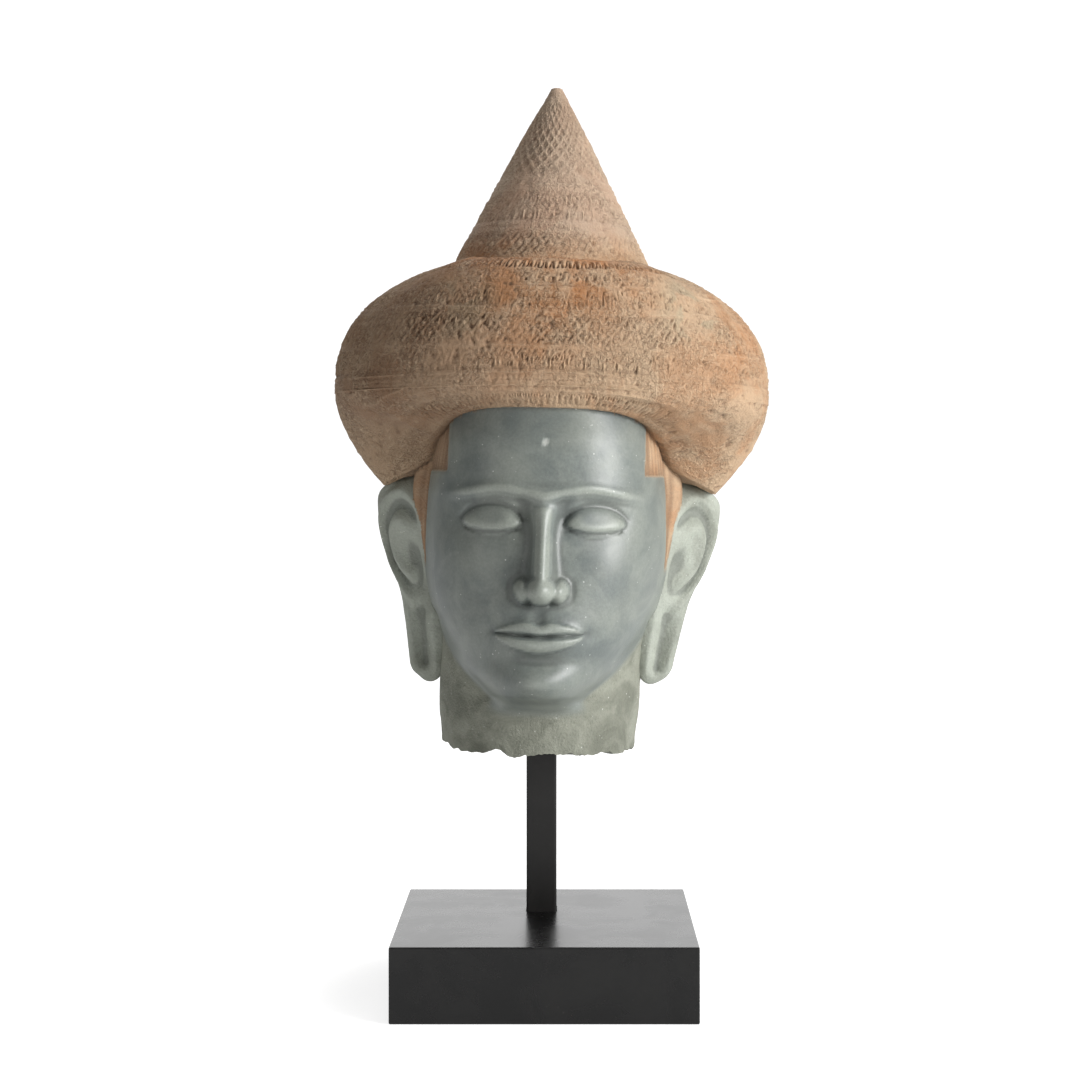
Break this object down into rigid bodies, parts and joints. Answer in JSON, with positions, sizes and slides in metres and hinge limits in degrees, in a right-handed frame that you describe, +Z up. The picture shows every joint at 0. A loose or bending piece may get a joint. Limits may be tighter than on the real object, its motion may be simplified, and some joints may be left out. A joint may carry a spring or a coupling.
{
  "type": "stone head sculpture",
  "caption": "Carved stone head in a flared, beaded diadem with a tall conical crown, broken off below the chin and held by a square post on a black block base",
  "frame": {"origin": "the middle of the block base's underside, on the surface that it stands on", "axes": "+Z is up, -Y is the front of the block base, and +X is the viewer's right. The head is turned 1 degree to the viewer's left and leans 1.6 degrees to the right."},
  "size_m": [0.2716, 0.2233, 0.5584],
  "materials": {
    "carved_stone": "matt carved crown, rubbed smooth face",
    "black_post": "satin black",
    "black_block": "satin black lacquer"
  },
  "bodies": {
    "root": {"stone_head": "carved_stone", "support_post": "black_post", "block_base": "black_block"}
  },
  "joints": []
}
